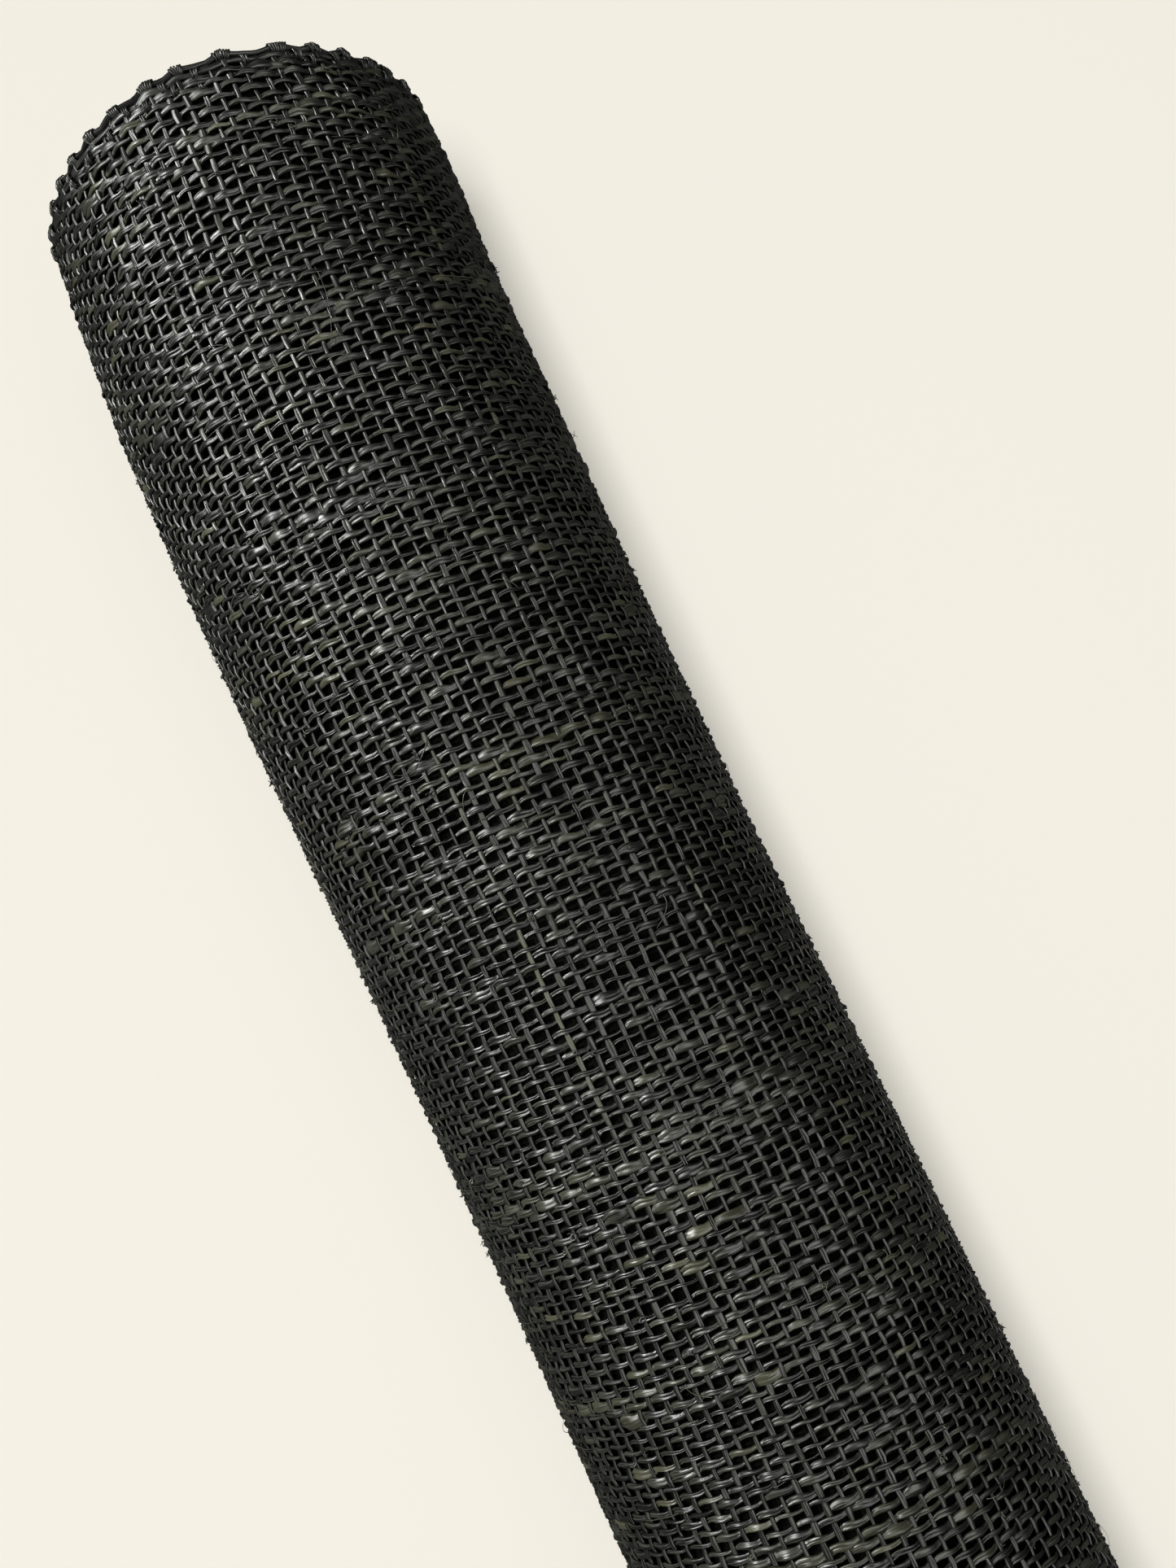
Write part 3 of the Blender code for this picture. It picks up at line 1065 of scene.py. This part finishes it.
def lay_rows():
    turns, y, drop, phase = row_run()
    shape = turns.shape
    cord = np.interp(rows_from_edge, range(len(CORDLIKE)), CORDLIKE)[:, None]
    wider, lighter, greener = band_strength()
    height = (1 - cord) * ROW_RISE * np.cos(phase) + drop
    y = y + (1 - cord) * (ROW_SLANT * np.sin(phase) + ROW_BOW * np.cos(phase))
    width = each_strip(ROWS, *ROW_WIDTH) * np.exp(each_arch(phase, ARCH_SPREAD))
    width = width * packed_wide[:, None]
    arched = 1 + 0.10 * np.cos(phase) - 0.10 * np.sin(phase)
    width = width * (arched + 0.12 * wander(*shape, 4)) * (1 + wider) * MM
    add_slubs(width)
    width = (1 - cord) * width + cord * EDGE_ROW_WIDTH * (1 + 0.12 * wander(*shape, 6))
    thick = (1 - cord) * ROW_THICKNESS * (1 + 0.15 * wander(*shape, 5)) + cord * EDGE_ROW_THICKNESS
    tilt = (1 - cord) * (ROW_LEAN + each_arch(phase, 0.26) + 0.20 * wander(*shape, 2))
    lightness = each_strip(ROWS, 0.05, 0.80) + each_arch(phase, 0.25) + 1.5 * lighter
    lightness = lightness + 0.25 * wander(*shape, 30) + 0.22 * drift(*shape, 7, 24)
    # Painted light: each arch lighter at its left foot and darker towards its right end
    lightness = (1 - cord) * (lightness - 0.45 * np.sin(phase)) - 0.2 * cord
    patches = np.clip(each_arch(phase, 0.5) - 0.62, 0.0, 0.5)
    olive = (1 - cord) * (patches + greener * np.clip(wander(*shape, 8) + 0.3, 0.0, 1.0))
    crease = (1 - cord) * np.clip(0.55 + 0.9 * wander(*shape, 4), 0.0, 1.0)
    lay_parts(
        "warp_rows", [ROWS_A_PIECE, 2 * ROWS_A_PIECE], turns, y, height - WEAVE_DEPTH,
        width, thick, tilt, lightness, np.clip(olive, 0.0, 0.9), crease,
    )


lay_rows()

# %% [markdown]
# ## The bundles that bind the selvedge
# Each bundle is five to seven thin strips side by side. They come up through the cloth behind
# the thick outermost row, fan out over it, go round it and come back underneath. Smaller
# bundles bind the second and the third row here and there in the same way.

# %% Selvedge bundles
# The points round the outermost row that a strip goes through: outward and up, in mm
BUNDLE_RUN = (
    (-1.50, -0.40), (-1.20, 0.36), (-0.70, 0.80), (0.00, 0.96), (0.62, 0.78),
    (1.00, 0.20), (0.94, -0.46), (0.30, -0.74), (-0.90, -0.55),
)
BUNDLE_STRIP_WIDTH = 0.56 * MM
BUNDLE_STRIP_THICKNESS = 0.34 * MM
BUNDLE_SPREAD = 0.62 * MM
INNER_RISE = 0.15 * MM

# Further bundles: how many rows in from the edge, how many of the places have one, how many
# strips it has, and how far aside of the main bundle it lies, counted in strips of weft
INNER_BUNDLES = ((1, 0.85, (3, 5), (0.7, 1.3)), (2, 0.4, (2, 4), (-0.9, -0.3)))


def bundle_strips(side, inward, at, count):
    """The thin strips of a bundle on the row this far in, as turns, places along and heights."""
    row = ROWS - 1 - inward if side > 0 else inward
    along, rise = np.array(BUNDLE_RUN).T * MM
    rise = rise + inward * INNER_RISE
    fan = rising(along, along[0], along.max())
    across = (np.arange(count) - (count - 1) / 2) * BUNDLE_SPREAD * (0.9 if inward else 1.0)
    across = across + chance.uniform(-0.10, 0.10, count) * MM
    offset = across[:, None] * (0.6 + 0.4 * fan) + chance.uniform(-0.6, 0.6) * MM * (1 - fan)
    turns = at + offset / ROLL_GIRTH
    row_y = np.interp(turns, crossing_turns[:, row], crossing_y[:, row])
    row_height = np.interp(turns, crossing_turns[:, row], crossing_height[:, row])
    lengths = each_strip(count, 0.96, 1.05)
    return turns, row_y + side * along * lengths, row_height + rise * lengths


def lay_bundles():
    turns, y, height = [], [], []
    for side in (-1, 1):
        for at in bundles[side]:
            wraps = [(0, at, chance.integers(5, 8))]
            for inward, share, strips, aside in INNER_BUNDLES:
                place_round = at + chance.uniform(*aside) / STRIPS_ROUND
                if chance.uniform() < share:
                    wraps.append((inward, place_round, chance.integers(*strips)))
            for inward, place_round, count in wraps:
                laid = bundle_strips(side, inward, place_round, count)
                for found, more in zip((turns, y, height), laid):
                    found.extend(more)
    turns, y, height = np.array(turns), np.array(y), np.array(height)
    count, stations = turns.shape
    width = BUNDLE_STRIP_WIDTH * each_strip(count, 0.8, 1.2)
    lightness = each_strip(count, -0.1, 0.7) + 0.2 * wander(count, stations, 3)
    lay_raffia(
        "selvedge_bundles", turns, y, height - WEAVE_DEPTH, width,
        BUNDLE_STRIP_THICKNESS, each_strip(count, -0.35, 0.35), lightness,
    )


lay_bundles()

# %% [markdown]
# ## The selvedges of the inner turns
# Seen from its end, the roll shows the edge of every turn, each with its own thick row. One
# strip for each turn, on the same spiral as the sheet, gives each end its wound look.

# %% Inner selvedges
SPIRAL_STATIONS = 121
CORD_WIDTH = 1.25 * MM
CORD_THICKNESS = 0.60 * MM
NUB = 0.28 * MM


def lay_inner_selvedges(side, name):
    whole = np.arange(1, int(TURNS))
    turns = whole[:, None] + np.linspace(0.0, 1.004, SPIRAL_STATIONS) + 0.03
    nubs = np.sin(np.pi * turns * STRIPS_ROUND * depth_share(turns) + 2 * whole[:, None])
    y = end_of_turn(turns, side) + side * (NUB * nubs - CORD_WIDTH / 3)
    height = settled(turns) + 0.10 * MM * wander(*turns.shape, 3) - WEAVE_DEPTH
    width = CORD_WIDTH * (1 + 0.15 * nubs)
    thick = CORD_THICKNESS * (1 + 0.12 * nubs)
    lightness = each_strip(len(whole), 0.2, 0.8) + 0.25 * wander(*turns.shape, 4)
    tilt = 0.15 * wander(*turns.shape, 3)
    lay_raffia(name, turns, y, height, width, thick, tilt, lightness)


lay_inner_selvedges(-1, "inner_selvedge_near")
lay_inner_selvedges(1, "inner_selvedge_far")

# %% [markdown]
# ## Knots, split fibres and loose fibres
# Where one strip ends the next is knotted on, and the knot's cut ends stick up as a small
# tuft. Strips also split along their fibres, so thin threads lie beside many rows, and a few
# have come free and arch over the cloth.

# %% Knots
# The thickness of a thin fibre, as a share of its width
FIBRE_THICKNESS = 0.6

# A knot's size and strip width in mm, its turns, its ends' reach in sizes, and its height
KNOTS = 330
KNOT_STATIONS = 13
KNOT_SIZE = (0.42, 0.78)
KNOT_WIDTH = (0.22, 0.42)
KNOT_TURNS = 1.35
KNOT_TAIL = 1.1
KNOT_LIFT = 0.05 * MM


def lay_knots():
    share = np.linspace(0.0, 1.0, KNOT_STATIONS)
    phase = each_strip(KNOTS, 0, 2 * np.pi)
    size = each_strip(KNOTS, *KNOT_SIZE) * MM
    strip = chance.integers(0, STRIPS_ROUND, (KNOTS, 1))
    row = chance.integers(3, ROWS - 3, (KNOTS, 1))
    bend = phase + 2 * np.pi * KNOT_TURNS * (share - 0.5)
    tail = np.abs(2 * share - 1) ** 4 * KNOT_TAIL
    reach = size * (0.75 + tail)
    across = reach * np.cos(bend) * each_strip(KNOTS, 0.6, 1.2)
    along = reach * np.sin(bend) * each_strip(KNOTS, 0.5, 1.0)
    rise = size * (0.55 * np.sin(np.pi * 2.5 * share + phase) + 0.9 * tail)
    turns = crossing_turns[strip, row] + across / ROLL_GIRTH
    y = crossing_y[strip, row] + along
    lightness = each_strip(KNOTS, 0.35, 1.0)
    olive = np.clip(each_strip(KNOTS, -0.5, 0.5), 0.0, 1.0)
    width = each_strip(KNOTS, *KNOT_WIDTH) * MM * (1 - 0.5 * tail / KNOT_TAIL)
    lay_raffia(
        "knots", turns, y, rise + KNOT_LIFT, width, FIBRE_THICKNESS * width,
        0.8 * wander(KNOTS, KNOT_STATIONS, 3), lightness, olive,
    )


lay_knots()

# %% Split fibres beside the rows
# A fibre's length in strips that it passes, its width in mm, and how deep it is sunk
SPLIT_FIBRES = 300
SPLIT_STATIONS = 13
SPLIT_LENGTH = (1.5, 5.0)
SPLIT_WIDTH = (0.14, 0.30)
FIBRE_SUNK = 0.25 * MM


def lay_split_fibres():
    share = np.linspace(0.0, 1.0, SPLIT_STATIONS)
    row = chance.integers(2, ROWS - 2, (SPLIT_FIBRES, 1))
    start = each_strip(SPLIT_FIBRES, 0, STRIPS_ROUND - 6)
    length = each_strip(SPLIT_FIBRES, *SPLIT_LENGTH)
    places = start + length * share
    rows = np.broadcast_to(row, places.shape).astype(float)
    turns = read_grid(crossing_turns, places, rows)
    y = read_grid(crossing_y, places, rows)
    beside = each_strip(SPLIT_FIBRES, -0.55, 0.55) * MM
    y = y + beside + 0.35 * MM * wander(*places.shape, 4)
    height = 0.16 * MM * (1 + wander(*places.shape, 3)) + 0.1 * MM
    ends = np.abs(2 * share - 1) ** 6
    width = each_strip(SPLIT_FIBRES, *SPLIT_WIDTH) * MM * (1 - 0.6 * ends)
    lightness = each_strip(SPLIT_FIBRES, 0.2, 0.95)
    olive = np.clip(each_strip(SPLIT_FIBRES, -0.8, 0.5), 0.0, 1.0)
    lay_raffia(
        "split_fibres", turns, y, height - FIBRE_SUNK, width, FIBRE_THICKNESS * width,
        0.5 * wander(*places.shape, 4), lightness, olive,
    )


lay_split_fibres()

# %% Loose fibres
# A fibre's length and width, in mm
LOOSE_FIBRES = 110
LOOSE_STATIONS = 12
LOOSE_LENGTH = (3.0, 11.0)
LOOSE_WIDTH = (0.13, 0.24)

# Three loose fibres that show well: the turn in degrees from the top and the place along, in mm,
# of both ends, how far the fibre bows aside and how high it arches, in mm
SEEN_FIBRES = (
    (10.7, 188.0, 6.0, 170.5, 1.2, 1.3),
    (41.5, 220.8, 58.5, 222.8, 1.5, 0.9),
    (24.0, 97.0, 33.0, 98.5, 1.0, 0.9),
)


def lay_loose_fibres():
    share = np.linspace(0.0, 1.0, LOOSE_STATIONS)
    ends = chance.uniform([0.02, -0.232], [0.96, 0.232], (LOOSE_FIBRES, 2))
    heading = chance.uniform(0, 2 * np.pi, LOOSE_FIBRES)
    length = chance.uniform(*LOOSE_LENGTH, LOOSE_FIBRES) * MM
    bow = chance.uniform(-0.25, 0.25, LOOSE_FIBRES) * length
    arch = chance.uniform(0.2, 1.0, LOOSE_FIBRES) * MM
    across = np.cos(heading) * length / ROLL_GIRTH
    run = 0.6 * np.sin(heading) * length
    loose = np.array([ends[:, 0], ends[:, 1], ends[:, 0] + across, ends[:, 1] + run, bow, arch])
    seen = np.array(SEEN_FIBRES).T
    seen[[0, 2]] = turns_at(seen[[0, 2]])
    seen[[1, 3, 4, 5]] *= MM
    start_turns, start_y, end_turns, end_y, bow, arch = np.hstack([loose, seen])[:, :, None]
    count = len(arch)
    swing = 4 * share * (1 - share)
    runs_round = np.abs(end_turns - start_turns) * ROLL_GIRTH > np.abs(end_y - start_y)
    turns = start_turns + (end_turns - start_turns) * share
    turns = turns + np.where(runs_round, 0.0, bow) * swing / ROLL_GIRTH
    y = start_y + (end_y - start_y) * share + np.where(runs_round, bow, 0.0) * swing
    height = arch * np.sin(np.pi * share) ** 0.8 - FIBRE_SUNK
    width = each_strip(count, *LOOSE_WIDTH) * MM * (1 - 0.55 * share)
    lightness = each_strip(count, 0.5, 1.0)
    olive = np.clip(each_strip(count, -0.4, 0.8), 0.0, 1.0)
    thick = FIBRE_THICKNESS * width
    lay_raffia("loose_fibres", turns, y, height, width, thick, 0.0, lightness, olive)


lay_loose_fibres()
